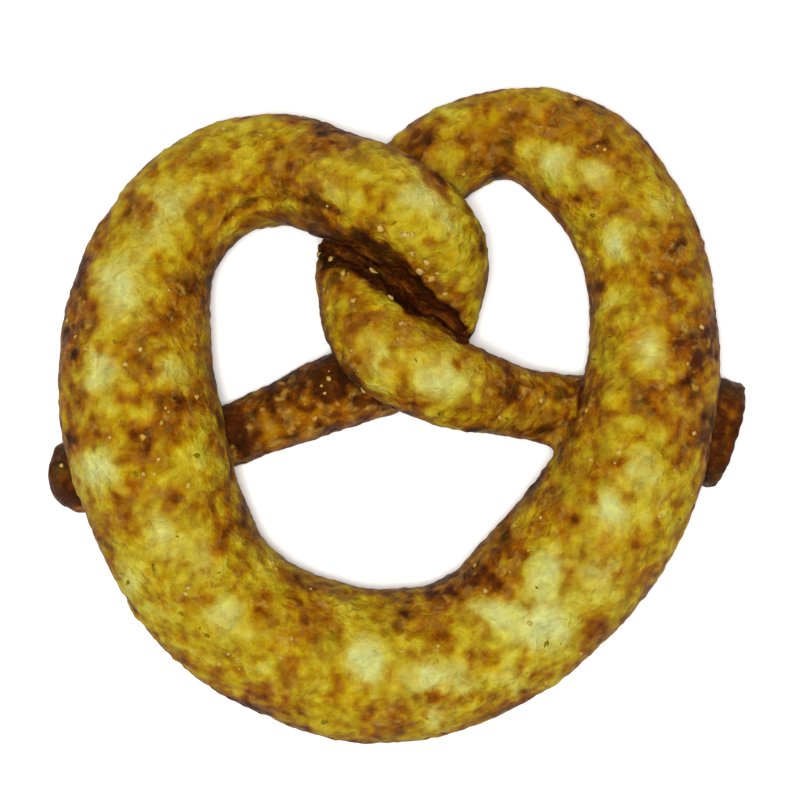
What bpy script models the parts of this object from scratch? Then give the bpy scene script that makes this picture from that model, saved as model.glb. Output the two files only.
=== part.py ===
"""A soft pretzel, baked as one piece from a single rope of dough.

Metres, +Z up. It lies on the flat underside that it baked on, at z = 0, with its two lobes towards +Y and
the origin under the middle of its bounding box. The rope is thickest in the belly at -Y. Its two arms turn
once round each other in the middle, and its tails run out under the sides of the loop.
"""

import bmesh
import bpy
from mathutils import Matrix, Vector

# Driving dimensions, in metres.
WIDTH = 0.150  # from the end of one tail to the end of the other
SECTION_HEIGHT = 0.85  # height of the rope as a share of its width
CRUST_CELL = 0.0026  # size of the cells in which touching stretches of dough fuse
CREASE_PASSES = 3  # how far the creases between them are rounded
CREASE_FACTOR = 0.3
KEPT_FACES = 0.4  # share of the faces kept where the surface is nearly flat
PROFILE_SIDES = 24  # sides round the rope
STEPS_PER_STATION = 6  # rings between two stations
SLAB_SIZE = 0.4  # the tray that flattens the underside
SLAB_DEPTH = 0.05

# The rope's stations, one list for each stretch: x, y, height of the middle, half width. They are in
# millimetres on a pretzel that is DRAWN_WIDTH wide, and run from the left tail's end to the right tail's.
DRAWN_WIDTH = 150.0
LEFT_TAIL = [
    (-76.2, -11.6, 2.6, 5.2),
    (-71.3, -12.1, 3.2, 8.6),
    (-62.0, -11.0, 3.2, 8.4),
    (-50.0, -8.4, 3.6, 7.3),
    (-37.0, -4.1, 4.6, 6.7),
    (-25.0, 0.7, 5.0, 7.3),
]
LEFT_ARM = [
    (-13.0, 5.8, 6.0, 8.2),
    (-2.0, 10.2, 7.0, 8.7),
    (4.4, 17.0, 8.5, 9.2),
    (7.9, 27.0, 13.0, 9.7),
    (6.4, 37.4, 19.5, 10.8),
    (-1.5, 44.7, 22.5, 11.2),
]
LEFT_LOBE = [
    (-14.0, 49.7, 17.5, 11.4),
    (-27.5, 53.2, 10.5, 12.3),
    (-41.2, 49.6, 8.8, 13.0),
    (-51.7, 38.4, 9.5, 13.4),
    (-56.6, 24.2, 11.0, 15.6),
]
BELLY = [
    (-57.7, 8.0, 13.0, 16.9),
    (-54.4, -9.0, 14.5, 17.1),
    (-48.6, -25.2, 12.0, 16.4),
    (-38.2, -41.0, 10.3, 16.2),
    (-20.5, -50.9, 10.0, 16.4),
    (0.0, -53.7, 10.0, 16.3),
    (17.6, -48.3, 9.6, 16.0),
    (32.2, -36.3, 10.0, 16.9),
    (43.5, -21.4, 12.0, 17.1),
    (51.0, -4.0, 14.0, 15.6),
    (54.4, 13.0, 12.0, 14.1),
]
RIGHT_LOBE = [
    (53.1, 30.0, 9.5, 13.5),
    (47.3, 45.3, 8.6, 13.1),
    (36.2, 57.0, 7.8, 12.4),
    (23.0, 61.6, 6.8, 9.8),
    (9.4, 56.9, 6.8, 9.6),
]
RIGHT_ARM = [
    (-0.8, 47.4, 7.2, 9.9),
    (-7.4, 37.0, 9.5, 9.5),
    (-8.4, 26.0, 15.5, 9.5),
    (-4.0, 15.5, 20.0, 10.4),
    (8.0, 8.0, 20.5, 9.9),
]
RIGHT_TAIL = [
    (22.0, 3.5, 15.0, 8.1),
    (36.0, 0.7, 8.0, 8.2),
    (50.0, -0.8, 4.0, 8.5),
    (61.0, -0.8, 3.0, 10.2),
    (71.2, -4.1, 1.5, 11.7),
]
ROPE = LEFT_TAIL + LEFT_ARM + LEFT_LOBE + BELLY + RIGHT_LOBE + RIGHT_ARM + RIGHT_TAIL

CRUST_COLOUR = (0.33, 0.19, 0.02, 1.0)
CRUST_ROUGHNESS = 0.6


def clear_scene():
    """Removes whatever the file holds."""
    for obj in list(bpy.data.objects):
        bpy.data.objects.remove(obj)


def new_collection(name):
    collection = bpy.data.collections.new(name)
    bpy.context.scene.collection.children.link(collection)
    return collection


def crust_material():
    material = bpy.data.materials.new("baked_crust")
    material.use_nodes = True
    shader = material.node_tree.nodes["Principled BSDF"]
    shader.inputs["Base Color"].default_value = CRUST_COLOUR
    shader.inputs["Roughness"].default_value = CRUST_ROUGHNESS
    shader.inputs["Metallic"].default_value = 0.0
    return material


def rope_section(guides):
    """The rope's cross-section, one unit in half width: a circle flattened to SECTION_HEIGHT."""
    bpy.ops.curve.primitive_bezier_circle_add(radius=1.0)
    section = bpy.context.active_object
    section.name = "rope_section"
    section.data.resolution_u = PROFILE_SIDES // 4
    section.data.transform(Matrix.Diagonal((1.0, SECTION_HEIGHT, 1.0, 1.0)))
    section.hide_render = True
    move_to(guides, section)
    return section


def move_to(collection, obj):
    for old in list(obj.users_collection):
        old.objects.unlink(obj)
    collection.objects.link(obj)


def dough_rope(guides):
    """The rope as a smooth curve through its stations, with the section swept upright along it."""
    scale = WIDTH / DRAWN_WIDTH
    data = bpy.data.curves.new("dough_rope", "CURVE")
    data.dimensions = "3D"
    data.twist_mode = "Z_UP"
    data.resolution_u = STEPS_PER_STATION
    data.bevel_mode = "OBJECT"
    data.bevel_object = rope_section(guides)
    data.use_fill_caps = True
    spline = data.splines.new("BEZIER")
    spline.bezier_points.add(len(ROPE) - 1)
    spline.radius_interpolation = "CARDINAL"
    for point, (x, y, z, half_width) in zip(spline.bezier_points, ROPE):
        point.co = Vector((x, y, z)) * scale
        point.radius = half_width * scale
        point.handle_left_type = "AUTO"
        point.handle_right_type = "AUTO"
    rope = bpy.data.objects.new("dough_rope", data)
    rope.hide_render = True
    guides.objects.link(rope)
    return rope


def swept_mesh(rope):
    """The rope's swept surface as a mesh, with its end caps welded to its sides."""
    graph = bpy.context.evaluated_depsgraph_get()
    mesh = bpy.data.meshes.new_from_object(rope.evaluated_get(graph))
    mesh.name = "pretzel"
    shape = bmesh.new()
    shape.from_mesh(mesh)
    bmesh.ops.remove_doubles(shape, verts=shape.verts, dist=1e-6)
    bmesh.ops.recalc_face_normals(shape, faces=shape.faces)
    shape.to_mesh(mesh)
    shape.free()
    return mesh


def tray_cutter(guides):
    """A slab with its top at z = 0, which cuts the flat underside."""
    bpy.ops.mesh.primitive_cube_add(size=1.0, location=(0.0, 0.0, -SLAB_DEPTH / 2))
    slab = bpy.context.active_object
    slab.name = "tray_cutter"
    slab.data.transform(Matrix.Diagonal((SLAB_SIZE, SLAB_SIZE, SLAB_DEPTH, 1.0)))
    slab.hide_render = True
    slab.display_type = "WIRE"
    move_to(guides, slab)
    return slab


def baked_pretzel(parts, guides):
    """The rope fused where it touches itself, its creases rounded and its underside flattened."""
    pretzel = bpy.data.objects.new("pretzel", swept_mesh(dough_rope(guides)))
    parts.objects.link(pretzel)
    fuse = pretzel.modifiers.new("fuse_crossings", "REMESH")
    fuse.mode = "VOXEL"
    fuse.voxel_size = CRUST_CELL
    soften = pretzel.modifiers.new("round_creases", "SMOOTH")
    soften.factor = CREASE_FACTOR
    soften.iterations = CREASE_PASSES
    thin_out = pretzel.modifiers.new("fewer_faces", "DECIMATE")
    thin_out.decimate_type = "COLLAPSE"
    thin_out.ratio = KEPT_FACES
    flatten = pretzel.modifiers.new("flatten_underside", "BOOLEAN")
    flatten.operation = "DIFFERENCE"
    flatten.solver = "EXACT"
    flatten.object = tray_cutter(guides)
    pretzel.data.materials.append(crust_material())
    return pretzel


def centre_over_origin(pretzel):
    """Moves the pretzel sideways until the middle of its bounding box is over the origin."""
    bpy.context.view_layer.update()
    corners = pretzel.evaluated_get(bpy.context.evaluated_depsgraph_get()).bound_box
    for axis in (0, 1):
        values = [corner[axis] for corner in corners]
        pretzel.location[axis] -= (min(values) + max(values)) / 2


def main():
    clear_scene()
    parts = new_collection("soft_pretzel")
    guides = new_collection("guides")
    centre_over_origin(baked_pretzel(parts, guides))


main()
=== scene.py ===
"""The finished look of a soft pretzel: its mottled crust, crumbs and herb flecks, and a plain studio stage.

Lengths are in metres, +Z is up, and the pretzel lies on z = 0 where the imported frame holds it.
"""

import math
import random

import bmesh
import bpy
import numpy as np
from bpy.props import FloatProperty, FloatVectorProperty, IntProperty, PointerProperty
from mathutils import Matrix, Vector, noise


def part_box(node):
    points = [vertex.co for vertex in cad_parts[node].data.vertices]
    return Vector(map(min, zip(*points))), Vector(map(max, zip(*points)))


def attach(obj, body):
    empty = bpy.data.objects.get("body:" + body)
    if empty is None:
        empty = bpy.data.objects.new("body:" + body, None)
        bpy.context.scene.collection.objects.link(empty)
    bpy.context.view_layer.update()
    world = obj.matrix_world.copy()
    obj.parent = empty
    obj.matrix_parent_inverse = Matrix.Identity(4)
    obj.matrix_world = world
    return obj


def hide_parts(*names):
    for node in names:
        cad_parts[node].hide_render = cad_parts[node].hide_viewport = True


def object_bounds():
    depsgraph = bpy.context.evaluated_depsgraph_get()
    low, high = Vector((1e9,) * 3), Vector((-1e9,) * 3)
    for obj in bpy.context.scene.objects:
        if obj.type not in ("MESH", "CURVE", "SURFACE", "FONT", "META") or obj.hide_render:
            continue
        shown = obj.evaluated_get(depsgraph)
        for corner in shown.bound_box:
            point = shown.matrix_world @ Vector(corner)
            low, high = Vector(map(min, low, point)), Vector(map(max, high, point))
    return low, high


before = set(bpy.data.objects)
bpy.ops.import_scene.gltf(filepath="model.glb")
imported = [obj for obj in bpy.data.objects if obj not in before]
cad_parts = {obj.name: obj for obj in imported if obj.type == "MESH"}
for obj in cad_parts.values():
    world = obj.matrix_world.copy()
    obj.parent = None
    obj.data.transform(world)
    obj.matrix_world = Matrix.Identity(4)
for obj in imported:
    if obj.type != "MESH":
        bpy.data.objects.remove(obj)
cad_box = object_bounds()

bl_info = {
    "name": "Soft Pretzel",
    "version": (1, 0, 0),
    "blender": (4, 5, 0),
    "location": "View3D > Sidebar > Pretzel",
    "description": "Builds a baked soft pretzel with a mottled crust, crumbs and herb flecks, and its stage",
    "category": "Add Mesh",
}

MM = 0.001
ROPE_SIDES = 32
RINGS_PER_STATION = 8
WELD = 1e-6  # points closer than this are one
ROUTE_STEP = 0.2  # steps in which the rope's route is searched, as a share of a station
SPOT_SOFTNESS = 0.95  # how far a spot's strength spreads, as a share of its radius
# a scrap here is a pale bit put on the seam as a painted highlight
GLINT_BIT_REACH = 0.8 * MM  # how far from its place a scrap may come to lie
SEED_SHIFT = (7.13, 3.71, 5.39)  # takes each seed to its own part of the noise
SEAM_FLOOR = 9 * MM  # the twist's seam is cut above this height
CREASE_FLOOR = 3 * MM  # and the crease over the foot above this one
TOPPING_THINS = (0.62, 0.30)  # browning at which the topping has ended, and at which it is thickest
TRIES_PER_SPOT = 6  # places drawn for each bit, as some are too near another bit
BIT_SIDES, BIT_RINGS = 8, 5
FLOOR_SIDES = 96
FLOOR_DROP = 0.2 * MM  # the floor is just under z = 0, where it doesn't touch the crust
CRUST_NAME = "pretzel_crust"
TONE = "browning"  # 0 where the topping is palest, 1 where the crust is darkest
REDNESS = "redness"  # 1 where bare crust shows instead of topping
MILKINESS = "milkiness"  # 1 where the topping is milky, 0 where it is mustard yellow
TORN = "torn"  # 1 in the torn seam of the twist
STRAND = "strand"  # place across and along the seam's torn strands

# The rope's stations, one list for each stretch: x, y, height of the middle, half width, in millimetres,
# from the left tail's end to the right tail's.
LEFT_TAIL = [
    (-76.2, -11.6, 2.6, 5.2),
    (-71.3, -12.1, 3.2, 8.6),
    (-62.0, -11.0, 3.2, 8.4),
    (-50.0, -8.4, 3.6, 7.3),
    (-37.0, -4.1, 4.6, 6.7),
    (-25.0, 0.7, 5.0, 7.3),
]
LEFT_ARM = [
    (-13.0, 5.8, 6.0, 8.2),
    (-2.0, 10.2, 7.0, 8.7),
    (4.4, 17.0, 8.5, 9.2),
    (7.9, 27.0, 13.0, 9.7),
    (6.4, 37.4, 19.5, 10.8),
    (-1.5, 44.7, 22.5, 11.2),
]
LEFT_LOBE = [
    (-14.0, 49.7, 17.5, 11.4),
    (-27.5, 53.2, 10.5, 12.3),
    (-41.2, 49.6, 8.8, 13.0),
    (-51.7, 38.4, 9.5, 13.4),
    (-56.6, 24.2, 11.0, 15.6),
]
BELLY = [
    (-57.7, 8.0, 13.0, 16.9),
    (-54.4, -9.0, 14.5, 17.1),
    (-48.6, -25.2, 12.0, 16.4),
    (-38.2, -41.0, 10.3, 16.2),
    (-20.5, -50.9, 10.0, 16.4),
    (0.0, -53.7, 10.0, 16.3),
    (17.6, -48.3, 9.6, 16.0),
    (32.2, -36.3, 10.0, 16.9),
    (43.5, -21.4, 12.0, 17.1),
    (51.0, -4.0, 14.0, 15.6),
    (54.4, 13.0, 12.0, 14.1),
]
RIGHT_LOBE = [
    (53.1, 30.0, 9.5, 13.5),
    (47.3, 45.3, 8.6, 13.1),
    (36.2, 57.0, 7.8, 12.4),
    (23.0, 61.6, 6.8, 9.8),
    (9.4, 56.9, 6.8, 9.6),
]
RIGHT_ARM = [
    (-0.8, 47.4, 7.2, 9.9),
    (-7.4, 37.0, 9.5, 9.5),
    (-8.4, 26.0, 15.5, 9.5),
    (-4.0, 15.5, 20.0, 10.4),
    (8.0, 8.0, 20.5, 9.9),
]
RIGHT_TAIL = [
    (22.0, 3.5, 15.0, 8.1),
    (36.0, 0.7, 8.0, 8.2),
    (50.0, -0.8, 4.0, 8.5),
    (61.0, -0.8, 3.0, 10.2),
    (71.2, -4.1, 1.5, 11.7),
]
ROPE = LEFT_TAIL + LEFT_ARM + LEFT_LOBE + BELLY + RIGHT_LOBE + RIGHT_ARM + RIGHT_TAIL

# Station numbers over which one stretch of the rope gives way to the next.
LEFT_TAIL_ENDS = (6.2, 7.4)
RIGHT_TAIL_STARTS = (37.4, 38.8)
# past here the right tail is darkened as painted shade
RIGHT_TAIL_GOES_UNDER = (39.2, 40.4)

# The torn groove between the two arms of the twist, along its bottom, in millimetres: x, y, half width and
# depth.
TWIST_SEAM = [
    (-17.0, 36.2, 4.6, 3.0),
    (-7.5, 34.3, 5.6, 5.5),
    (-1.4, 29.4, 5.2, 7.0),
    (3.6, 24.7, 3.8, 6.5),
    (9.6, 21.2, 3.0, 5.5),
    (14.8, 16.3, 2.2, 2.5),
]
# The crease above the foot that the left lobe baked on, round its inner side, in the same way.
FOOT_CREASE = [
    (-37.5, 41.5, 1.2, 0.7),
    (-31.5, 45.3, 1.7, 1.5),
    (-25.0, 46.6, 1.7, 1.6),
    (-17.5, 45.2, 1.5, 1.2),
    (-12.0, 42.5, 1.2, 0.6),
]
# Pale bits along the seam and where the arm crosses the left tail, put there as painted highlights for its
# # glints, in millimetres: x, y, width.
SEAM_GLINT_BITS = [
    (-14.4, 33.8, 1.3),
    (-12.0, 30.9, 1.5),
    (-5.2, 31.2, 2.2),
    (-3.9, 38.3, 1.5),
    (0.6, 37.6, 1.4),
    (-1.5, 25.3, 1.6),
    (3.2, 33.4, 1.2),
    (7.2, 28.4, 1.8),
    (4.3, 29.7, 2.0),
    (5.9, 31.4, 1.4),
    (9.8, 25.0, 1.2),
    (-8.2, 4.9, 1.5),
    (-15.5, 8.2, 1.2),
]

# The spots of the crust, in millimetres: x, y, radius, strength. Where the topping lies pale, and then where
# the crust is browned.
PALE_LEFT = [
    (-59.5, 28.0, 5.0, 1.0),
    (-62.0, 21.0, 3.5, 0.6),
    (-56.5, 33.0, 3.0, 0.7),
    (-59.5, -16.5, 3.2, 0.8),
    (-57.0, -3.5, 2.6, 0.6),
    (-63.0, 9.5, 4.5, 1.2),
    (-62.5, 2.5, 3.5, 0.7),
    (-60.5, 46.0, 3.5, 0.6),
    (-50.0, 38.5, 4.5, 0.9),
    (-45.0, 47.0, 4.0, 0.9),
    (-49.5, 55.5, 3.5, 0.6),
    (-57.5, 48.5, 3.0, 0.5),
    (-37.5, 61.5, 4.0, 0.8),
    (-27.0, 62.0, 3.5, 0.5),
    (-64.5, -14.0, 4.8, 1.3),
    (-47.5, 8.0, 3.0, 1.1),
    (-42.0, -9.0, 5.0, 0.5),
    (-50.0, -23.0, 4.5, 1.1),
    (-42.5, -27.5, 3.4, 1.1),
    (-57.0, -34.5, 4.5, 0.9),
    (-38.5, -32.5, 3.0, 0.5),
    (-28.0, -33.5, 3.2, 0.9),
    (-36.0, -41.5, 3.6, 0.8),
    (-41.0, -49.0, 3.5, 0.7),
    (-31.0, -46.0, 3.4, 0.7),
    (-53.5, -43.0, 4.5, 0.9),
]
PALE_TWIST = [
    (-10.5, 47.5, 3.5, 0.6),
    (-13.5, 53.5, 3.0, 0.4),
    (0.5, 52.0, 3.5, 0.9),
    (4.5, 43.0, 5.0, 0.9),
    (12.5, 40.0, 4.5, 0.5),
    (16.5, 31.5, 3.0, 0.7),
    (15.8, 25.5, 2.6, 0.9),
    (-4.0, 12.8, 4.8, 1.1),
    (3.5, 12.5, 3.0, 0.6),
    (9.0, 6.5, 4.5, 1.1),
    (32.8, 3.5, 2.6, 0.8),
    (-12.5, 0.5, 3.5, 1.2),
    (-19.0, -1.5, 3.0, 0.8),
    (-27.0, -3.5, 3.0, 0.6),
    (-25.0, 6.0, 2.5, 0.4),
]
PALE_BELLY = [
    (-7.5, -53.0, 4.6, 1.2),
    (-28.0, -55.0, 4.0, 0.5),
    (1.5, -57.5, 4.5, 0.7),
    (6.0, -55.0, 3.0, 0.6),
    (-8.0, -42.5, 3.0, 0.5),
    (13.5, -56.5, 3.5, 0.7),
    (7.5, -66.5, 3.5, 1.1),
    (21.5, -44.5, 4.0, 0.9),
    (22.0, -55.0, 3.4, 1.0),
    (30.0, -46.5, 6.0, 1.1),
    (32.0, -33.0, 4.0, 0.9),
    (31.0, -28.5, 4.0, 0.8),
    (27.5, -32.5, 3.0, 0.9),
    (29.0, -36.0, 2.4, 0.8),
    (39.5, -26.0, 3.0, 0.8),
    (33.5, -57.0, 3.2, 0.8),
    (40.5, -38.5, 4.5, 0.7),
    (47.0, -38.5, 4.0, 0.7),
]
PALE_RIGHT = [
    (46.0, -23.0, 4.5, 1.0),
    (57.0, -32.0, 4.5, 0.6),
    (61.0, -14.0, 3.5, 0.5),
    (50.5, -10.0, 4.0, 1.0),
    (54.5, -21.0, 4.0, 1.0),
    (44.0, 8.0, 2.6, 0.5),
    (56.0, 10.5, 3.0, 0.7),
    (54.0, 15.5, 4.5, 0.9),
    (46.5, 24.0, 4.0, 0.5),
    (47.0, 37.0, 4.0, 0.9),
    (46.0, 50.5, 4.0, 0.7),
    (41.0, 50.0, 3.0, 0.7),
    (27.5, 56.0, 3.0, 0.8),
    (13.5, 57.0, 3.0, 0.6),
    (33.0, 55.0, 4.5, 0.8),
    (57.0, 46.0, 3.5, 0.6),
    (24.0, 69.5, 3.0, 0.6),
    (32.5, 69.0, 3.5, 1.0),
    (11.0, 64.0, 3.0, 0.8),
]
BROWN_LEFT = [
    (-68.5, 31.5, 4.2, 1.2),
    (-69.5, 20.5, 4.2, 1.1),
    (-68.0, 13.0, 3.5, 1.1),
    (-66.5, 3.5, 3.5, 0.8),
    (-42.0, 35.0, 3.5, 0.9),
    (-54.5, 44.0, 3.6, 1.2),
    (-38.5, 43.5, 4.4, 0.8),
    (-40.0, 53.5, 4.0, 0.7),
    (-45.0, 27.0, 4.5, 0.9),
    (-51.0, 19.5, 4.8, 0.9),
    (-58.5, 12.0, 4.0, 0.8),
    (-52.5, 9.0, 3.0, 0.9),
    (-45.5, 2.0, 4.5, 1.1),
    (-52.5, -4.5, 5.0, 0.7),
    (-66.5, -4.5, 4.0, 0.9),
    (-60.0, -23.0, 4.5, 0.7),
    (-55.5, -17.0, 4.0, 0.9),
    (-37.5, -6.0, 3.0, 0.8),
    (-47.5, -17.5, 3.5, 0.9),
    (-37.5, -22.5, 4.5, 0.8),
    (-45.5, -39.5, 3.5, 0.4),
    (-28.0, -41.0, 3.2, 0.8),
    (-32.5, -49.5, 3.0, 0.5),
    (-34.0, -36.5, 3.0, 0.3),
    (-38.5, -25.5, 3.0, 0.6),
    (-25.0, -47.5, 3.0, 0.8),
    (-46.5, 52.5, 3.0, 0.7),
]
BROWN_TWIST = [
    (-27.0, 52.5, 4.6, 0.75),
    (-17.5, 59.0, 4.5, 0.9),
    (-10.5, 57.5, 3.5, 0.7),
    (-17.0, 42.5, 3.8, 1.0),
    (-18.0, 49.0, 3.0, 0.5),
    (-2.0, 46.0, 2.8, 0.7),
    (7.0, 47.5, 3.2, 1.1),
    (7.0, 56.0, 3.5, 0.9),
    (-7.0, 18.0, 4.2, 1.2),
    (-12.5, 27.5, 4.0, 1.0),
    (-11.5, 9.5, 4.0, 1.2),
    (4.0, 3.0, 3.0, 0.9),
    (10.8, 27.0, 3.0, 0.9),
    (11.0, 11.0, 3.2, 0.6),
    (2.0, 16.5, 2.6, 0.5),
    (10.5, 21.5, 2.6, 0.8),
    (3.0, 54.0, 2.6, 0.7),
    (-1.0, 8.5, 3.0, 0.8),
    (22.5, 6.0, 4.0, 1.1),
    (28.0, 5.0, 3.0, 0.8),
    # these two are painted shadow where the right tail goes under the loop
    (38.5, -1.5, 4.0, 0.5),
    (39.5, 4.5, 3.0, 1.2),
    (21.0, -2.5, 2.5, 0.6),
    (34.5, -5.0, 2.5, 0.6),
]
BROWN_BELLY = [
    (-18.0, -41.5, 4.0, 0.9),
    (-23.5, -58.0, 3.0, 0.7),
    (-8.0, -58.0, 3.0, 0.5),
    (10.0, -60.5, 3.0, 0.8),
    (-30.0, -61.0, 4.0, 0.7),
    (1.5, -42.5, 4.0, 0.6),
    (14.0, -37.5, 4.2, 1.2),
    (8.0, -39.5, 3.2, 1.1),
    (-2.0, -64.0, 4.0, 1.0),
    (8.0, -47.5, 3.0, 0.8),
    (20.5, -33.5, 4.0, 1.1),
    (24.0, -38.0, 2.8, 1.1),
    (24.5, -28.0, 3.5, 0.7),
    (28.5, -56.0, 3.0, 0.4),
    (16.5, -54.0, 3.0, 0.5),
    (43.0, -46.0, 3.5, 1.0),
]
BROWN_RIGHT = [
    (34.5, -21.5, 4.5, 0.8),
    (41.5, -13.0, 3.6, 0.5),
    (46.5, -12.5, 3.0, 0.8),
    (50.0, -25.5, 3.0, 0.7),
    (44.0, -28.5, 3.0, 0.5),
    (57.0, -19.0, 2.6, 0.5),
    (52.0, -36.0, 3.2, 0.8),
    (48.0, -5.5, 2.6, 0.7),
    (64.0, -7.0, 4.0, 1.2),
    (54.0, 3.5, 4.5, 1.1),
    (58.5, -3.0, 3.8, 0.8),
    (63.5, 3.0, 4.0, 0.7),
    (64.0, 14.5, 5.0, 1.2),
    (50.0, 17.0, 3.4, 1.0),
    (62.0, 9.0, 4.0, 0.9),
    (67.0, 21.0, 3.5, 0.9),
    (42.0, 25.0, 2.6, 0.9),
    (58.0, 34.5, 5.0, 1.2),
    (51.5, 43.5, 3.2, 0.8),
    (53.5, 28.5, 3.0, 0.7),
    (57.5, 23.5, 3.0, 0.7),
    (43.5, 56.0, 3.5, 0.8),
    (42.0, 46.5, 3.5, 0.9),
    (50.0, 60.0, 3.5, 0.6),
    (40.5, 65.0, 3.5, 0.9),
    (32.0, 63.5, 3.5, 1.0),
    (24.5, 63.0, 4.4, 1.2),
    (16.0, 60.0, 3.8, 0.9),
    (20.0, 54.5, 4.0, 0.8),
    (27.0, 51.5, 3.0, 0.9),
    (4.5, 58.5, 4.5, 0.7),
]
# Where the tails are nearly black: partly darkly baked crust at their ends, partly painted shade at their
# # undercut edges, where the arm and the loop lie over them, and at the right tail's end.
CHARRED_AND_SHADED = [
    (-73.5, -8.0, 5.0, 0.9),
    (-72.0, -15.0, 5.0, 0.9),
    (-14.0, 8.5, 4.0, 0.8),
    (-36.5, 0.0, 3.0, 0.6),
    (72.5, 5.5, 4.0, 0.7),
    (67.5, -11.0, 4.5, 0.7),
]
# Broad stretches where the crust is ruddier.
RUDDY = [
    (63.5, 13.0, 8.0, 0.9),
    (57.0, 32.0, 6.0, 0.6),
    (52.5, 44.0, 4.5, 0.7),
    (5.0, 20.0, 6.0, 1.2),
    (-49.0, 20.0, 8.0, 0.6),
    (-68.0, 22.0, 5.0, 0.5),
    (28.0, -22.0, 6.0, 0.6),
    (42.0, -33.0, 6.0, 0.6),
    (18.0, -35.0, 5.0, 0.7),
    (-17.0, -41.0, 5.0, 0.6),
    (-17.0, 53.0, 6.0, 0.5),
    (32.0, 63.0, 5.0, 0.6),
    (23.0, 6.0, 4.0, 0.7),
    (-18.0, -56.0, 4.0, 0.5),
]
# Where the topping is milky rather than mustard yellow.
MILKY = [
    (31.0, -44.0, 6.5, 1.0),
    (20.0, -44.0, 4.5, 0.8),
    (33.0, -33.0, 5.0, 0.7),
    (45.0, -20.5, 4.0, 0.9),
    (43.0, -33.0, 4.5, 0.6),
    (51.0, -12.0, 4.0, 0.6),
    (57.0, -18.0, 3.0, 0.4),
    (-64.0, -12.0, 5.0, 0.9),
    (-63.0, 9.0, 5.0, 0.7),
    (-60.0, 27.0, 6.0, 0.7),
    (-55.0, 37.0, 4.0, 0.4),
    (-50.0, 45.0, 5.0, 0.6),
    (-7.0, -53.0, 4.5, 0.9),
    (6.0, -56.0, 5.0, 0.7),
    (14.0, -57.0, 3.5, 0.6),
    (25.0, -57.0, 3.0, 0.4),
    (-37.0, -43.0, 4.5, 0.6),
    (-43.0, -31.0, 5.0, 0.5),
    (-51.0, -24.0, 5.0, 0.4),
    (-57.0, -36.0, 4.0, 0.5),
    (4.0, 47.0, 4.5, 0.7),
    (10.0, 41.0, 4.0, 0.4),
    (9.5, 7.5, 6.0, 0.7),
    (-5.0, 12.0, 4.0, 0.6),
    (-48.0, 8.0, 4.0, 0.4),
    (47.0, 37.0, 4.0, 0.6),
    (34.0, 55.0, 5.0, 0.5),
    (42.0, 51.0, 4.0, 0.4),
    (54.0, 14.0, 5.0, 0.6),
    (57.0, 45.0, 4.0, 0.4),
    (8.0, -65.0, 4.0, 0.6),
    (-15.0, 48.0, 4.0, 0.4),
]
PALE = PALE_LEFT + PALE_TWIST + PALE_BELLY + PALE_RIGHT
BROWN = BROWN_LEFT + BROWN_TWIST + BROWN_BELLY + BROWN_RIGHT

# What each mark on the crust adds to how far it is baked, from 0 for the palest topping to 1 for the darkest
# # crust, and then to how bare of topping it is, from 0 to 1. Some of the browning is painted shade: on the
# steep
# # sides, in the seam and the foot crease, at the tails' undercut edges and on the right tail past the loop.
PLAIN_BROWNING = 0.475
UNDERSIDE_BROWNING = 0.74
BROWNING = {
    "pale spots": -0.40,
    "brown spots": 0.36,
    "blotches": 0.27,
    "flecks": 0.16,
    # painted shade: the steep sides are darkened as if baked more, for the light falling off there
    "shaded steep sides": 0.20,
    "left tail": 0.36,
    "right tail": 0.20,
    # painted shade on the right tail past where it goes under the loop
    "right tail's shaded end": 0.28,
    # partly darkly baked tail ends, partly painted shade at the tails' undercut edges
    "charred and shaded spots": 0.60,
    # partly the bare crust of the torn seam, partly painted shade in its deep groove
    "shaded torn seam": 0.67,
    # painted shade in the crease over the foot
    "foot crease shade": 0.30,
}
BARENESS = {
    "left tail": 0.90,
    "right tail": 0.45,
    "right tail's shaded end": 0.50,
    "shaded torn seam": 0.80,
    "ruddy spots": 0.50,
    "bare spots": 0.80,
    "underside": 0.50,
    "charred and shaded spots": -0.50,
}


def piece_collection():
    """The collection that holds the pieces made here."""
    collection = bpy.data.collections.get("soft_pretzel")
    if collection is None:
        collection = bpy.data.collections.new("soft_pretzel")
        bpy.context.scene.collection.children.link(collection)
    return collection


def smooth_step(low, high, value):
    """0 at low and past it, 1 at high and past it, and a soft ramp between. Low may be the larger one."""
    t = np.clip((value - low) / (high - low), 0.0, 1.0)
    return t * t * (3.0 - 2.0 * t)


def noise_field(points, size, seed, octaves=1):
    """Smooth noise of about -1 to 1 at each point, with lumps about one size across."""
    shift = Vector([seed * step for step in SEED_SHIFT])
    if octaves == 1:
        return np.array([noise.noise(Vector(p) / size + shift) for p in points]) * 1.5
    return np.array([noise.fractal(Vector(p) / size + shift, 1.0, 2.1, octaves) for p in points])


def wandered(points, size, reach, seed):
    """The points moved about by noise, so that what is drawn by place gets ragged edges."""
    shifts = [noise_field(points, size, seed + k) * reach for k in range(2)]
    return points + np.stack([*shifts, np.zeros(len(points))], axis=1)


def spot_field(points, spots):
    """The strength of round soft spots at each point: whole in a spot's middle, a third at its radius."""
    total = np.zeros(len(points))
    for x, y, radius, strength in spots:
        away = np.hypot(points[:, 0] - x * MM, points[:, 1] - y * MM) / (radius * MM)
        total += strength * np.exp(-((away / SPOT_SOFTNESS) ** 2))
    return total


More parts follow.
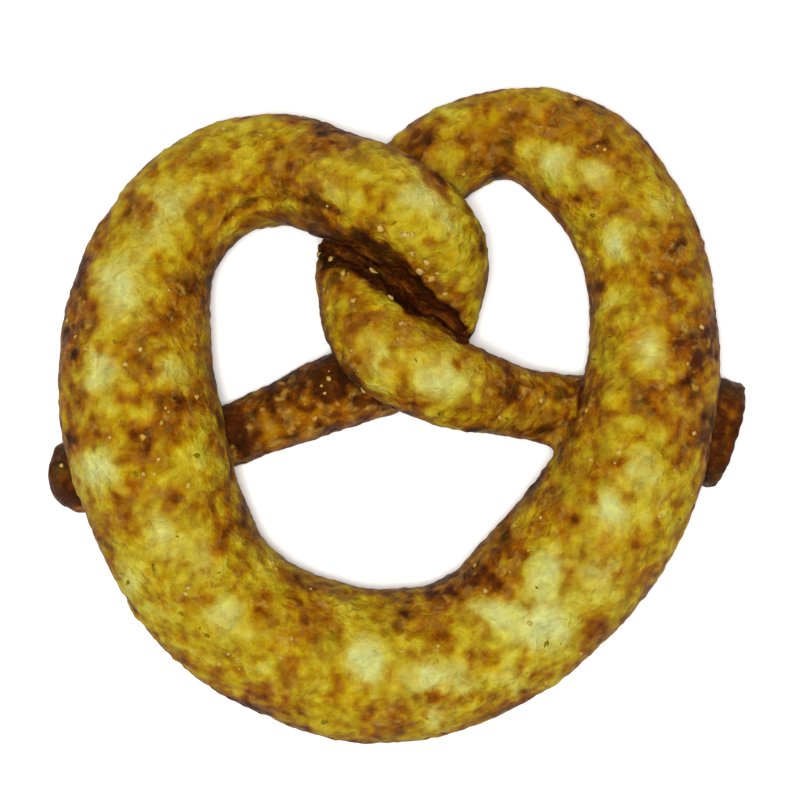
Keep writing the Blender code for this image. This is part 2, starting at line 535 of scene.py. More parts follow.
def groove_field(points, line):
    """How each point lies to the groove along the line, seen from above: the depth of the groove's bottom
    beside it, how far in it lies, 0 at the groove's edge and 1 at its bottom, and its place across and
    along the groove."""
    best = np.full(len(points), np.inf)
    depth, across, along = np.zeros((3, len(points)))
    plan = points[:, :2]
    passed = 0.0
    for a, b in zip(line[:-1], line[1:]):
        start = np.array(a[:2]) * MM
        run = np.array(b[:2]) * MM - start
        length = np.linalg.norm(run)
        t = np.clip((plan - start) @ run / length**2, 0.0, 1.0)
        width = (a[2] + (b[2] - a[2]) * t) * MM
        offset = plan - start - t[:, None] * run
        away = np.linalg.norm(offset, axis=1)
        nearer = away / width < best
        best = np.where(nearer, away / width, best)
        depth = np.where(nearer, (a[3] + (b[3] - a[3]) * t) * MM, depth)
        side = np.sign(offset[:, 1] * run[0] - offset[:, 0] * run[1])
        across = np.where(nearer, away * side, across)
        along = np.where(nearer, passed + t * length, along)
        passed += length
    return depth, 1.0 - smooth_step(0.0, 1.0, best), np.stack([across, along], axis=1)


def read_vectors(rows, name):
    """The named vector of each row, one to a line."""
    values = np.empty(len(rows) * 3)
    rows.foreach_get(name, values)
    return values.reshape(-1, 3)


def read_points(mesh):
    return read_vectors(mesh.vertices, "co")


def read_normals(mesh):
    return read_vectors(mesh.vertex_normals, "vector")


def write_points(mesh, points):
    mesh.vertices.foreach_set("co", points.ravel())
    mesh.update()


def write_attribute(mesh, name, values):
    """Writes one number or one vector for each point under the name."""
    kind, field = ("FLOAT_VECTOR", "vector") if values.ndim == 2 else ("FLOAT", "value")
    layer = mesh.attributes.new(name, kind, "POINT")
    layer.data.foreach_set(field, values.ravel().astype(np.float32))


def relax(mesh, factor, passes):
    """Smooths the mesh a little, as dough rounds its creases while it proves."""
    shape = bmesh.new()
    shape.from_mesh(mesh)
    for _ in range(passes):
        bmesh.ops.smooth_vert(
            shape, verts=shape.verts, factor=factor, use_axis_x=True, use_axis_y=True, use_axis_z=True
        )
    shape.to_mesh(mesh)
    shape.free()


def swept_rope(settings):
    """The rope as a closed mesh: a flattened section swept upright along a curve through the stations."""
    bpy.ops.curve.primitive_bezier_circle_add(radius=1.0)
    section = bpy.context.active_object
    outline = section.data
    outline.resolution_u = ROPE_SIDES // 4
    outline.transform(Matrix.Diagonal((1.0, settings.section_height, 1.0, 1.0)))
    data = bpy.data.curves.new("rope_route", "CURVE")
    data.dimensions = "3D"
    data.twist_mode = "Z_UP"
    data.resolution_u = RINGS_PER_STATION
    data.bevel_mode = "OBJECT"
    data.bevel_object = section
    data.use_fill_caps = True
    spline = data.splines.new("BEZIER")
    spline.bezier_points.add(len(ROPE) - 1)
    spline.radius_interpolation = "CARDINAL"
    for point, (x, y, z, half_width) in zip(spline.bezier_points, ROPE):
        point.co = Vector((x, y, z)) * MM
        point.radius = half_width * MM
        point.handle_left_type = "AUTO"
        point.handle_right_type = "AUTO"
    route = bpy.data.objects.new("rope_route", data)
    bpy.context.scene.collection.objects.link(route)
    graph = bpy.context.evaluated_depsgraph_get()
    mesh = bpy.data.meshes.new_from_object(route.evaluated_get(graph))
    bpy.data.objects.remove(route)
    bpy.data.objects.remove(section)
    bpy.data.curves.remove(data)
    bpy.data.curves.remove(outline)
    shape = bmesh.new()
    shape.from_mesh(mesh)
    bmesh.ops.remove_doubles(shape, verts=shape.verts, dist=WELD)
    bmesh.ops.recalc_face_normals(shape, faces=shape.faces)
    shape.to_mesh(mesh)
    shape.free()
    return mesh


def fused(mesh, cell):
    """The mesh with its touching stretches fused, as small even faces."""
    holder = bpy.data.objects.new("fusing", mesh)
    bpy.context.scene.collection.objects.link(holder)
    remesh = holder.modifiers.new("fuse_crossings", "REMESH")
    remesh.mode = "VOXEL"
    remesh.voxel_size = cell
    graph = bpy.context.evaluated_depsgraph_get()
    result = bpy.data.meshes.new_from_object(holder.evaluated_get(graph))
    bpy.data.objects.remove(holder)
    bpy.data.meshes.remove(mesh)
    return result


def centre_on_frame(mesh):
    """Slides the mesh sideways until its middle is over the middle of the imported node."""
    low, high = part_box("pretzel")
    points = read_points(mesh)
    for axis in (0, 1):
        points[:, axis] += (low[axis] + high[axis] - points[:, axis].min() - points[:, axis].max()) / 2
    write_points(mesh, points)


def rope_place(points):
    """Where along the rope each point lies, as a station number: 0 at the left tail's end."""
    stations = np.array(ROPE) * MM
    steps = np.arange(0.0, len(stations) - 1, ROUTE_STEP)
    known = np.arange(len(stations))
    route = np.stack([np.interp(steps, known, stations[:, k]) for k in range(4)], axis=1)
    best = np.full(len(points), np.inf)
    place = np.zeros(len(points))
    for step, (x, y, z, half_width) in zip(steps, route):
        away = np.linalg.norm(points - (x, y, z), axis=1) / half_width
        nearer = away < best
        best[nearer] = away[nearer]
        place[nearer] = step
    return place


def dough_relief(points, normals, settings):
    """The points moved in and out along their normals as uneven, risen dough."""
    swell = noise_field(points, settings.swell_size, seed=1) * settings.swell_height
    lumps = noise_field(points, settings.lump_size, seed=2, octaves=3) * settings.lump_height
    return points + normals * (swell + lumps)[:, None]


def carve(points, normals, line, floor):
    """Lowers the points of the upper side, above the floor, that lie in the groove along the line."""
    depth, inside, _ = groove_field(points, line)
    upper = smooth_step(0.0, 0.3, normals[:, 2]) * smooth_step(floor, floor + 2 * MM, points[:, 2])
    points = points.copy()
    points[:, 2] -= depth * inside * upper
    return points


def torn_strands(points, settings):
    """How torn each point of the seam is, 0 to 1, its place on the strands, and the strands' height there."""
    ragged = wandered(points, 3.0 * MM, 0.9 * MM, seed=21)
    wide = [(x, y, 1.15 * half_width, depth) for x, y, half_width, depth in TWIST_SEAM]
    _, inside, place = groove_field(ragged, wide)
    torn = smooth_step(0.05, 0.65, inside) * smooth_step(6 * MM, SEAM_FLOOR, points[:, 2])
    strand = np.column_stack([place / (1.5 * MM, 6.0 * MM), np.zeros(len(points))])
    height = noise_field(strand, 1.0, seed=22) * settings.strand_height * torn
    return torn, strand, height


def crust_marks(points, normals, place, torn, crease):
    """How strong each mark is at each point: about 0 to 1, or -1 to 1 for the blotches and flecks."""
    left_tail = 1.0 - smooth_step(*LEFT_TAIL_ENDS, place)
    right_tail = smooth_step(*RIGHT_TAIL_STARTS, place)
    tails = np.maximum(left_tail, right_tail)
    ragged = wandered(wandered(points, 7.0 * MM, 1.6 * MM, seed=11), 2.8 * MM, 0.9 * MM, seed=15)
    pale = spot_field(ragged, PALE) * np.maximum(1.0 - tails, 0.35)
    brown = spot_field(ragged, BROWN)
    return {
        "pale spots": np.minimum(pale, 1.2),
        "brown spots": np.minimum(brown, 1.3),
        "bare spots": np.minimum(brown, 1.0),
        "ruddy spots": spot_field(ragged, RUDDY),
        "milky spots": spot_field(ragged, MILKY),
        # partly dark-baked tail ends, partly painted shade at the tails' undercut edges
        "charred and shaded spots": spot_field(ragged, CHARRED_AND_SHADED) * tails,
        "blotches": noise_field(points, 5.5 * MM, seed=3, octaves=3),
        "flecks": noise_field(points, 2.2 * MM, seed=4),
        "left tail": left_tail,
        "right tail": right_tail,
        # painted shade on the right tail past where it goes under the loop
        "right tail's shaded end": smooth_step(*RIGHT_TAIL_GOES_UNDER, place),
        # painted shade on the steep sides, where light from above falls off
        "shaded steep sides": (1.0 - smooth_step(0.2, 0.9, normals[:, 2])) * (1.0 - tails),
        "underside": smooth_step(-0.2, -0.7, normals[:, 2]),
        # partly bare torn crust, partly painted shade in the seam's deep groove
        "shaded torn seam": torn,
        # painted shade in the crease over the foot
        "foot crease shade": crease,
    }


def browning(marks):
    """How far each point is baked, painted shade in the hollows and on the steep sides included, how bare of
    topping it is and how milky its topping is, each 0 to 1.
    """
    under = marks["underside"]
    tone = PLAIN_BROWNING + sum(share * marks[name] for name, share in BROWNING.items())
    tone = tone * (1.0 - under) + (UNDERSIDE_BROWNING + 0.08 * marks["blotches"]) * under
    bare = sum(share * marks[name] for name, share in BARENESS.items())
    milky = marks["milky spots"] + 0.15 * marks["flecks"]
    return [np.clip(values, 0.0, 1.0) for values in (tone, bare, milky)]


def lay_on_tray(points):
    """Lifts the points that are below the tray, z = 0, on to it."""
    points[:, 2] = np.maximum(points[:, 2], 0.0)


def risen_dough(settings):
    """The whole pretzel as smooth, unevenly risen dough with its seam and its crease, and each point's place
    along the rope."""
    mesh = fused(swept_rope(settings), settings.cell)
    relax(mesh, factor=0.5, passes=4)
    centre_on_frame(mesh)
    points = read_points(mesh)
    place = rope_place(points)
    points = dough_relief(points, read_normals(mesh), settings)
    write_points(mesh, points)
    points = carve(points, read_normals(mesh), TWIST_SEAM, SEAM_FLOOR)
    points = carve(points, read_normals(mesh), FOOT_CREASE, CREASE_FLOOR)
    lay_on_tray(points)
    write_points(mesh, points)
    relax(mesh, factor=0.4, passes=1)
    return mesh, place


def crust_mesh(settings):
    """The whole pretzel's baked surface, with its browning, painted shade included, written on its points."""
    mesh, place = risen_dough(settings)
    mesh.name = CRUST_NAME
    points = read_points(mesh)
    normals = read_normals(mesh)
    torn, strand, strand_height = torn_strands(points, settings)
    _, crease, _ = groove_field(points, FOOT_CREASE)
    tone, bare, milky = browning(crust_marks(points, normals, place, torn, crease))
    grain = noise_field(points, 1.8 * MM, seed=5) * settings.grain_height
    crinkle = (0.4 - np.abs(noise_field(points, 3.4 * MM, seed=6))) * settings.crinkle_height
    topping = settings.topping_height * smooth_step(*TOPPING_THINS, tone)
    points += normals * (grain + crinkle + topping + strand_height)[:, None]
    lay_on_tray(points)
    write_points(mesh, points)
    mesh.polygons.foreach_set("use_smooth", [True] * len(mesh.polygons))
    write_attribute(mesh, TONE, tone)
    write_attribute(mesh, REDNESS, bare)
    write_attribute(mesh, MILKINESS, milky)
    write_attribute(mesh, TORN, torn)
    write_attribute(mesh, STRAND, strand)
    return mesh


def add_piece(name, mesh, material):
    """Puts the mesh in the scene as a piece that rides on the pretzel's one body."""
    mesh.materials.clear()
    mesh.materials.append(material)
    piece = bpy.data.objects.new(name, mesh)
    piece_collection().objects.link(piece)
    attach(piece, "root")
    return piece


def scattered_spots(mesh, weights, count, sizes, spacing, seed):
    """Seeded places on the mesh, one to each cell as wide as the spacing, with their normals and widths. They
    are likelier where the weight is higher."""
    chance = random.Random(seed)
    picks = chance.choices(range(len(mesh.vertices)), weights=weights, k=count * TRIES_PER_SPOT)
    taken = set()
    spots = []
    for index in picks:
        vertex = mesh.vertices[index]
        cell = tuple(math.floor(value / spacing) for value in vertex.co)
        if cell in taken:
            continue
        taken.add(cell)
        width = chance.uniform(*sizes)
        spots.append((vertex.co.copy(), mesh.vertex_normals[index].vector.copy(), width))
        if len(spots) == count:
            break
    return spots


def bits_mesh(name, spots, longest, flatness, sunk, seed):
    """Many small uneven bits in one mesh, one for each spot. Longest is how far the longest of them are drawn
    out, flatness their height against their width, and sunk the share of the height that is in the crust."""
    chance = random.Random(seed)
    shape = bmesh.new()
    for place, normal, size in spots:
        stretch = chance.uniform(0.8, 1.0) * longest
        turn = normal.to_track_quat("Z", "Y").to_matrix().to_4x4()
        spin = Matrix.Rotation(chance.uniform(0.0, math.tau), 4, "Z")
        scale = Matrix.Diagonal((size * stretch, size / stretch, size * flatness, 1.0))
        centre = Matrix.Translation(place + normal * size * flatness * (0.5 - sunk))
        made = bmesh.ops.create_uvsphere(shape, u_segments=BIT_SIDES, v_segments=BIT_RINGS, radius=0.5)
        shift = Vector([chance.uniform(-50.0, 50.0) for _ in range(3)])
        for vertex in made["verts"]:
            vertex.co *= 1.0 + noise.noise(vertex.co * 2.8 + shift)
        bmesh.ops.transform(shape, matrix=centre @ turn @ spin @ scale, verts=made["verts"])
    for face in shape.faces:
        face.smooth = True
    bmesh.ops.recalc_face_normals(shape, faces=shape.faces)
    mesh = bpy.data.meshes.new(name)
    shape.to_mesh(mesh)
    shape.free()
    return mesh


def placed_spots(mesh, places):
    """The highest points of the mesh near listed places in plan, with their normals and widths."""
    points = read_points(mesh)
    normals = read_normals(mesh)
    spots = []
    for x, y, width in places:
        away = np.hypot(points[:, 0] - x * MM, points[:, 1] - y * MM)
        near = np.flatnonzero(away < GLINT_BIT_REACH)
        if len(near) == 0:
            raise RuntimeError("a scrap has no crust under it")
        index = near[np.argmax(points[near, 2])]
        spots.append((Vector(points[index]), Vector(normals[index]), width * MM))
    return spots


class Wire:
    """A socket of a material's nodes, on which arithmetic adds Math nodes."""

    def __init__(self, nodes, socket):
        self.nodes = nodes
        self.socket = socket

    def math(self, operation, *others):
        values = dict(enumerate((self, *others)))
        return self.nodes.add("ShaderNodeMath", {"operation": operation}, values)

    def __add__(self, other):
        return self.math("ADD", other)

    def __radd__(self, other):
        return self.math("ADD", other)

    def __sub__(self, other):
        return self.math("SUBTRACT", other)

    def __rsub__(self, other):
        return self.math("MULTIPLY_ADD", -1.0, other)

    def __mul__(self, other):
        return self.math("MULTIPLY", other)

    def __rmul__(self, other):
        return self.math("MULTIPLY", other)

    def between(self, low, high):
        """0 at low, 1 at high and a soft step between."""
        values = {"Value": self, "From Min": low, "From Max": high}
        return self.nodes.add("ShaderNodeMapRange", {"interpolation_type": "SMOOTHSTEP"}, values)


class Nodes:
    """A new material and the one way that its nodes are added."""

    def __init__(self, name):
        self.material = bpy.data.materials.new(name)
        self.material.use_nodes = True
        self.tree = self.material.node_tree
        self.shader = self.tree.nodes["Principled BSDF"]

    def add(self, kind, settings=None, values=None, output=0):
        """A node of this kind with its settings made, then its sockets filled, as its output's Wire."""
        node = self.tree.nodes.new(kind)
        for name, value in (settings or {}).items():
            if name == "stops":
                self.set_stops(node.color_ramp, value)
            else:
                setattr(node, name, value)
        for key, value in (values or {}).items():
            self.feed(node.inputs[key], value)
        return Wire(self, node.outputs[output])

    def feed(self, socket, value):
        if isinstance(value, Wire):
            self.tree.links.new(value.socket, socket)
        elif socket.type == "RGBA" and len(value) == 3:
            socket.default_value = (*value, 1.0)
        else:
            socket.default_value = value

    def set_stops(self, ramp, stops):
        while len(ramp.elements) < len(stops):
            ramp.elements.new(1.0)
        for element, (position, colour) in zip(ramp.elements, stops):
            element.position = position
            element.color = (*colour, 1.0)

    def place(self):
        """The place on the object, in metres."""
        return self.add("ShaderNodeTexCoord", output="Object")

    def noise(self, scale, detail=2.0, roughness=0.5, place=None):
        """Noise of 0 to 1, with as many lumps to a metre as the scale says."""
        place = place or self.place()
        values = {"Vector": place, "Scale": scale, "Detail": detail, "Roughness": roughness}
        return self.add("ShaderNodeTexNoise", {}, values)

    def wandering(self, scale, reach):
        """The place on the object, moved about by noise within the reach."""
        drift = self.add("ShaderNodeTexNoise", {}, {"Vector": self.place(), "Scale": scale}, output="Color")
        centred = self.vectors("SUBTRACT", drift, (0.5, 0.5, 0.5))
        return self.vectors("ADD", self.place(), self.vectors("MULTIPLY", centred, (reach, reach, reach)))

    def vectors(self, operation, first, second):
        return self.add("ShaderNodeVectorMath", {"operation": operation}, {0: first, 1: second})

    def cells(self, scale, place, output):
        return self.add("ShaderNodeTexVoronoi", {}, {"Vector": place, "Scale": scale}, output=output)

    def attribute(self, name):
        return self.add("ShaderNodeAttribute", {"attribute_name": name}, output="Fac")

    def strand_place(self):
        """The place on the seam's strands, across and along them."""
        return self.add("ShaderNodeAttribute", {"attribute_name": STRAND}, output="Vector")

    def colours(self, factor, stops):
        return self.add("ShaderNodeValToRGB", {"stops": stops}, {"Fac": factor})

    def mixed(self, factor, first, second):
        """The second colour over the first one: a Mix node's colours are its sockets 6 and 7."""
        return self.add("ShaderNodeMix", {"data_type": "RGBA"}, {0: factor, 6: first, 7: second}, output=2)

    def bumped(self, height, distance):
        return self.add("ShaderNodeBump", {}, {"Height": height, "Distance": distance})

    def finish(self, values):
        for key, value in values.items():
            self.feed(self.shader.inputs[key], value)
        return self.material


def topping_colour(nodes, colours, shade, mottle):
    """Melted topping on the crust from the palest to the darkest, mustard yellow with milky patches."""
    stops = [
        (0.06, colours.palest),
        (0.24, colours.pale),
        (0.40, colours.olive),
        (0.54, colours.gold),
        (0.66, colours.brown),
        (0.82, colours.dark),
        (1.00, colours.darkest),
    ]
    milk = nodes.colours(shade, [(0.06, colours.milk), (0.50, colours.thin_milk)])
    milky = (nodes.attribute(MILKINESS) + (mottle - 0.5) * 0.7).between(0.02, 0.90)
    milky = milky * (1.0 - shade.between(0.25, 0.70))
    return nodes.mixed(milky, nodes.colours(shade, stops), milk)


def crust_material(colours):
    """Baked crust under a mottled layer of topping, from pale melted patches to dark bare crust."""
    nodes = Nodes("baked_crust")
    tone = nodes.attribute(TONE)
    bare = nodes.attribute(REDNESS)
    torn = nodes.attribute(TORN)
    mottle = nodes.noise(270.0, detail=3.0, roughness=0.6)
    grain = nodes.noise(780.0, detail=3.0, roughness=0.6)
    strands = 1.0 - (nodes.noise(290.0, detail=1.0) - 0.5).math("ABSOLUTE").between(0.0, 0.13)
    strands = strands * nodes.noise(120.0, detail=1.0).between(0.44, 0.58)
    specks = nodes.noise(430.0, detail=1.5).between(0.56, 0.72)
    crumbly = nodes.wandering(700.0, 1.4 * MM)
    lump = 1.0 - nodes.cells(560.0, crumbly, "Distance").between(0.15, 0.75)
    lump_tone = nodes.cells(560.0, crumbly, "Color") - 0.5
    wrinkles = nodes.noise(1.0, detail=3.0, roughness=0.6, place=nodes.strand_place())
    shade = tone + (mottle - 0.5) * 0.54 + (grain - 0.5) * 0.12 - strands * 0.09 - specks * 0.05
    shade = shade + (wrinkles - 0.5) * torn + lump_tone * 0.20

    blush = nodes.noise(150.0, detail=2.0).between(0.28, 0.68) * bare * 0.85
    bare_stops = [(0.20, colours.blush), (0.62, colours.russet), (0.95, colours.red)]
    topping = topping_colour(nodes, colours, shade, mottle)
    colour = nodes.mixed(blush, topping, nodes.colours(shade, bare_stops))
    toasted = (specks + lump_tone.between(0.12, 0.30) * 0.6) * (bare * 0.55 + 0.15)
    toasted = toasted * (1.0 - torn) * (1.0 - tone.between(0.8, 1.0))
    colour = nodes.mixed(toasted, colour, colours.crumb)
    green = nodes.noise(190.0, detail=2.0).between(0.40, 0.68) * (1.0 - bare) * 0.40
    stain = nodes.colours(shade, [(0.1, colours.herb_pale), (0.8, colours.herb)])
    colour = nodes.mixed(green, colour, stain)
    colour = nodes.vectors("MULTIPLY", colour, (nodes.noise(380.0, detail=2.0) - 0.5) * 0.9 + 1.02)

    height = mottle * 0.9 + nodes.noise(620.0, detail=5.0, roughness=0.72) + strands * 0.3 + lump * 0.2
    height = height + wrinkles * torn * 1.5
    return nodes.finish(
        {
            "Base Color": colour,
            "Roughness": 0.60 - bare * 0.14 + (grain - 0.5) * 0.3,
            "Normal": nodes.bumped(height, 0.9 * MM),
            "Specular IOR Level": 0.07,
            "Specular Tint": colours.gloss,
        }
    )


def crumb_material(colours):
    """Small toasted crumbs, each a slightly different tan, also worn by the pale bits that are painted
    highlights.
    """
    nodes = Nodes("toasted_crumb")
    tint = nodes.noise(230.0, detail=1.0).between(0.35, 0.65)
    speck = nodes.noise(1500.0, detail=2.0)
    colour = nodes.mixed(tint, colours.crumb, colours.crumb_light)
    return nodes.finish(
        {
            "Base Color": colour,
            "Roughness": 0.45 + speck * 0.25,
            "Normal": nodes.bumped(speck, 0.2 * MM),
            "Specular IOR Level": 0.3,
            "Specular Tint": colours.gloss,
        }
    )


def herb_material(colours):
    """Dried herb, dark olive and brown by turns."""
    nodes = Nodes("dried_herb")
    tint = nodes.noise(210.0, detail=1.0).between(0.4, 0.6)
    speck = nodes.noise(1300.0, detail=2.0)
    colour = nodes.mixed(tint, colours.herb_dark, colours.herb)
    return nodes.finish(
        {
            "Base Color": colour,
            "Roughness": 0.6 + speck * 0.2,
            "Normal": nodes.bumped(speck, 0.2 * MM),
            "Specular IOR Level": 0.2,
            "Specular Tint": colours.gloss,
        }
    )


def floor_material(stage):
    nodes = Nodes("studio_floor")
    mottle = nodes.noise(6.0, detail=2.0)
    return nodes.finish(
        {
            "Base Color": stage.floor_colour,
            "Roughness": 0.85 + (mottle - 0.5) * 0.1,
            "Specular IOR Level": 0.1,
        }
    )


def colour_prop(name, description, default):
    return FloatVectorProperty(
        name=name, description=description, default=default, size=3, min=0.0, max=1.0, subtype="COLOR"
    )


def length_prop(name, description, default):
    return FloatProperty(
        name=name, description=description, default=default, min=0.0, precision=5, subtype="DISTANCE",
        unit="LENGTH",
    )


class DoughSettings(bpy.types.PropertyGroup):
    """Sizes of the baked dough."""

    section_height: FloatProperty(
        name="Section height",
        description="Height of the rope as a share of its width",
        default=0.85,
        min=0.3,
        max=1.2,
        subtype="FACTOR",
    )
    cell: length_prop("Cell", "Size of the crust's faces", 0.00078)
    swell_size: length_prop("Swell size", "Size of the broad unevenness", 0.022)
    swell_height: length_prop("Swell height", "Height of the broad unevenness", 0.0006)
    lump_size: length_prop("Lump size", "Size of the lumps", 0.0075)
    lump_height: length_prop("Lump height", "Height of the lumps", 0.0003)
    grain_height: length_prop("Grain height", "Height of the crust's grain", 0.00014)
    crinkle_height: length_prop("Crinkle height", "Height of the crust's crinkles", 0.0004)
    strand_height: length_prop("Strand height", "Height of the torn strands in the seam", 0.0011)
    topping_height: length_prop("Topping height", "How far the pale topping stands proud", 0.0003)


class BitSettings(bpy.types.PropertyGroup):
    """Crumbs and herb flecks on the crust."""

    crumbs: IntProperty(name="Crumbs", description="Number of toasted crumbs", default=110, min=0, max=2000)
    crumb_size: length_prop("Crumb size", "Width of a middling crumb", 0.00085)
    herbs: IntProperty(name="Herb flecks", description="Number of herb flecks", default=48, min=0, max=2000)
    herb_size: length_prop("Herb size", "Width of a middling herb fleck", 0.0008)
    seed: IntProperty(name="Seed", description="Picks where the bits lie", default=7, min=0)


class ColourSettings(bpy.types.PropertyGroup):
    """Colours of the crust and of what is on it."""

    palest: colour_prop("Palest topping", "Thickest melted topping", (0.428, 0.356, 0.050))
    pale: colour_prop("Pale topping", "Middling topping", (0.394, 0.296, 0.014))
    olive: colour_prop("Olive topping", "Thin topping", (0.340, 0.212, 0.002))
    gold: colour_prop("Golden crust", "Lightly baked crust", (0.272, 0.130, 0.002))
    brown: colour_prop("Brown crust", "Well baked crust", (0.222, 0.070, 0.0015))
    dark: colour_prop("Dark crust", "Darkly baked crust", (0.100, 0.024, 0.0017))
    # the darkest crust is mostly painted shade, in the seam, the creases and the undercut edges
    darkest: colour_prop("Darkest crust", "Crust in the creases", (0.019, 0.0048, 0.0017))
    blush: colour_prop("Pink crust", "Pale bare crust", (0.370, 0.150, 0.010))
    russet: colour_prop("Russet crust", "Browned bare crust", (0.222, 0.062, 0.0015))
    red: colour_prop("Red crust", "Dark bare crust", (0.065, 0.013, 0.0026))
    milk: colour_prop("Milky topping", "Thick milky topping", (0.458, 0.480, 0.170))
    thin_milk: colour_prop("Thin milky topping", "Thin milky topping", (0.376, 0.326, 0.055))
    herb_pale: colour_prop("Pale herb stain", "Green of the palest topping", (0.385, 0.362, 0.024))
    herb: colour_prop("Herb stain", "Green of the thin topping", (0.139, 0.096, 0.0035))
    herb_dark: colour_prop("Herb", "Dried herb flecks", (0.141, 0.115, 0.006))
    crumb: colour_prop("Crumb", "Toasted crumbs", (0.350, 0.206, 0.034))
    crumb_light: colour_prop("Light crumb", "The lightest crumbs", (0.400, 0.270, 0.075))
    gloss: colour_prop("Gloss", "Colour of the crust's faint shine", (1.0, 0.72, 0.12))


class StageSettings(bpy.types.PropertyGroup):
    """The floor, the lights and the camera."""

    floor_colour: colour_prop("Floor", "Colour of the floor", (0.93, 0.93, 0.93))
    floor_radius: length_prop("Floor radius", "Radius of the round floor", 2.5)
    sky: FloatProperty(name="Sky", description="Strength of the even light", default=0.445, min=0.0)
    key: FloatProperty(name="Key light", description="Power of the key light", default=23.0, min=0.0)
    key_size: length_prop("Key size", "Width of the round key light", 0.5)
    key_colour: colour_prop("Key colour", "Colour of the key light", (1.0, 0.985, 0.96))
    key_place: FloatVectorProperty(
        name="Key place",
        description="Where the key light is",
        default=(-0.05, -0.06, 1.35),
        size=3,
        subtype="TRANSLATION",
        unit="LENGTH",
    )
    camera_height: length_prop("Camera height", "Height of the camera over the pretzel", 0.8)
    camera_shift: FloatVectorProperty(
        name="Camera shift",
        description="How far the camera is right of and above the pretzel's middle, as shares of its width",
        default=(0.002, 0.02),
        size=2,
    )
    fill: FloatProperty(
        name="Fill",
        description="Width of the pretzel as a share of the picture's width",
        default=0.8735,
        min=0.1,
        max=1.0,
        subtype="FACTOR",
    )


class PRETZEL_OT_crust(bpy.types.Operator):
    """Makes the pretzel's crust from its rope, with its creases, lumps and browning, and painted shade in its
    hollows
    """

    bl_idname = "pretzel.crust"
    bl_label = "Crust"

    def execute(self, context):
        scene = context.scene
        mesh = crust_mesh(scene.pretzel_dough)
        crust = add_piece(CRUST_NAME, mesh, crust_material(scene.pretzel_colours))
        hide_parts("pretzel")
        return {"FINISHED"}


class PRETZEL_OT_crumbs(bpy.types.Operator):
    """Scatters toasted crumbs, thickest on the browned parts of the crust, and puts pale bits on the seam as
    painted highlights
    """

    bl_idname = "pretzel.crumbs"
    bl_label = "Crumbs"

    def execute(self, context):
        bits = context.scene.pretzel_bits
        crust = crust_of(context.scene)
        up, tone, bare = crust_fields(crust)
        weights = up * (0.35 + 0.5 * bare * smooth_step(0.3, 0.6, tone) * smooth_step(0.9, 0.7, tone))
        sizes = (0.5 * bits.crumb_size, 1.5 * bits.crumb_size)
        spots = scattered_spots(crust.data, weights, bits.crumbs, sizes, spacing=1.3 * MM, seed=bits.seed)
        # the pale bits on the seam are painted highlights
        spots += placed_spots(crust.data, SEAM_GLINT_BITS)
        mesh = bits_mesh("crumbs_and_glint_bits", spots, longest=1.1, flatness=0.45, sunk=0.35, seed=bits.seed + 1)
        add_piece("crumbs_and_glint_bits", mesh, crumb_material(context.scene.pretzel_colours))
        return {"FINISHED"}


class PRETZEL_OT_herbs(bpy.types.Operator):
    """Scatters flecks of dried herb over the topping"""

    bl_idname = "pretzel.herbs"
    bl_label = "Herb Flecks"

    def execute(self, context):
        bits = context.scene.pretzel_bits
        crust = crust_of(context.scene)
        up, tone, _ = crust_fields(crust)
        weights = up * (0.3 + smooth_step(0.75, 0.35, tone))
        sizes = (0.5 * bits.herb_size, 1.6 * bits.herb_size)
        spots = scattered_spots(crust.data, weights, bits.herbs, sizes, spacing=2.0 * MM, seed=bits.seed + 2)
        mesh = bits_mesh("herb_flecks", spots, longest=1.5, flatness=0.22, sunk=0.35, seed=bits.seed + 3)
        add_piece("herb_flecks", mesh, herb_material(context.scene.pretzel_colours))
        return {"FINISHED"}


class PRETZEL_OT_stage(bpy.types.Operator):
    """Sets a pale floor, soft light and a camera straight above the pretzel"""

    bl_idname = "pretzel.stage"
    bl_label = "Stage"

    def execute(self, context):
        stage = context.scene.pretzel_stage
        make_floor(context.scene, stage)
        make_light(context.scene, stage)
        make_camera(context.scene, stage)
        return {"FINISHED"}


def crust_of(scene):
    crust = scene.objects.get(CRUST_NAME)
    if crust is None:
        raise RuntimeError("make the crust before what lies on it")
    return crust


def crust_fields(crust):
    """For each of the crust's points: how far it faces up, its browning and how bare it is."""
    fields = []
    for name in (TONE, REDNESS):
        values = np.empty(len(crust.data.vertices))
        crust.data.attributes[name].data.foreach_get("value", values)
        fields.append(values)
    up = smooth_step(0.35, 0.8, read_normals(crust.data)[:, 2])
    return up, *fields


def make_floor(scene, stage):
    shape = bmesh.new()
    bmesh.ops.create_circle(shape, cap_ends=True, segments=FLOOR_SIDES, radius=stage.floor_radius)
    bmesh.ops.translate(shape, verts=shape.verts, vec=(0.0, 0.0, -FLOOR_DROP))
    mesh = bpy.data.meshes.new("studio_floor")
    shape.to_mesh(mesh)
    shape.free()
    mesh.materials.append(floor_material(stage))
    floor = bpy.data.objects.new("studio_floor", mesh)
    scene.collection.objects.link(floor)


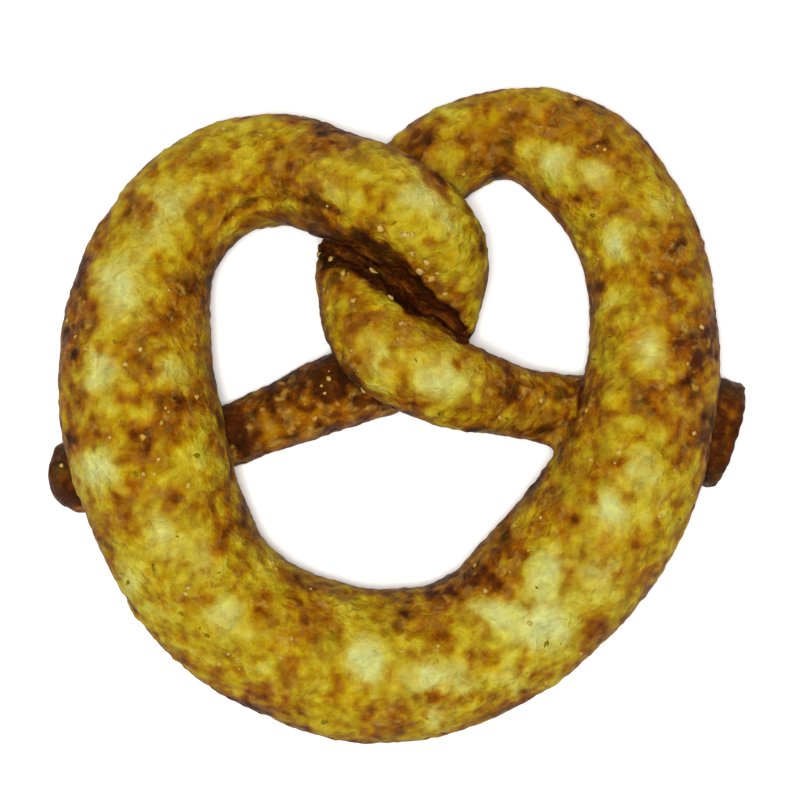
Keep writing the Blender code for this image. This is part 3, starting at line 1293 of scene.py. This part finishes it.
def make_light(scene, stage):
    """An even white sky and one soft light high above the pretzel, so that no side falls in shadow."""
    world = bpy.data.worlds.new("studio")
    world.use_nodes = True
    background = world.node_tree.nodes["Background"]
    background.inputs["Color"].default_value = (1.0, 1.0, 1.0, 1.0)
    background.inputs["Strength"].default_value = stage.sky
    scene.world = world
    data = bpy.data.lights.new("key_light", "AREA")
    data.shape = "DISK"
    data.size = stage.key_size
    data.energy = stage.key
    data.color = stage.key_colour
    light = bpy.data.objects.new("key_light", data)
    light.location = stage.key_place
    light.rotation_mode = "QUATERNION"
    light.rotation_quaternion = light.location.to_track_quat("Z", "Y")
    scene.collection.objects.link(light)


def make_camera(scene, stage):
    """A long lens looking straight down, with the pretzel a little below the picture's middle."""
    low, high = cad_box
    width = high.x - low.x
    data = bpy.data.cameras.new("camera")
    data.lens = data.sensor_width * stage.camera_height / (width / stage.fill)
    camera = bpy.data.objects.new("camera", data)
    middle = (low + high) / 2
    shift_x, shift_y = stage.camera_shift
    camera.location = middle + Vector((shift_x * width, shift_y * width, stage.camera_height))
    scene.collection.objects.link(camera)
    scene.camera = camera
    scene.view_settings.view_transform = "Standard"


class PRETZEL_PT_panel(bpy.types.Panel):
    """The pretzel's settings and the buttons that make its pieces"""

    bl_idname = "PRETZEL_PT_panel"
    bl_label = "Soft Pretzel"
    bl_space_type = "VIEW_3D"
    bl_region_type = "UI"
    bl_category = "Pretzel"

    def draw(self, context):
        for name in GROUPS:
            box = self.layout.box()
            group = getattr(context.scene, name)
            for prop in group.bl_rna.properties:
                if prop.identifier not in {"rna_type", "name"}:
                    box.prop(group, prop.identifier)
        for operator in OPERATORS:
            self.layout.operator(operator.bl_idname)


GROUPS = {
    "pretzel_dough": DoughSettings,
    "pretzel_bits": BitSettings,
    "pretzel_colours": ColourSettings,
    "pretzel_stage": StageSettings,
}
OPERATORS = (PRETZEL_OT_crust, PRETZEL_OT_crumbs, PRETZEL_OT_herbs, PRETZEL_OT_stage)


def register():
    for cls in (*GROUPS.values(), *OPERATORS, PRETZEL_PT_panel):
        bpy.utils.register_class(cls)
    for name, group in GROUPS.items():
        setattr(bpy.types.Scene, name, PointerProperty(type=group))


def unregister():
    for name in GROUPS:
        delattr(bpy.types.Scene, name)
    for cls in reversed((*GROUPS.values(), *OPERATORS, PRETZEL_PT_panel)):
        bpy.utils.unregister_class(cls)


def main():
    register()
    bpy.ops.pretzel.crust()
    bpy.ops.pretzel.crumbs()
    bpy.ops.pretzel.herbs()
    bpy.ops.pretzel.stage()


if __name__ == "__main__":
    main()
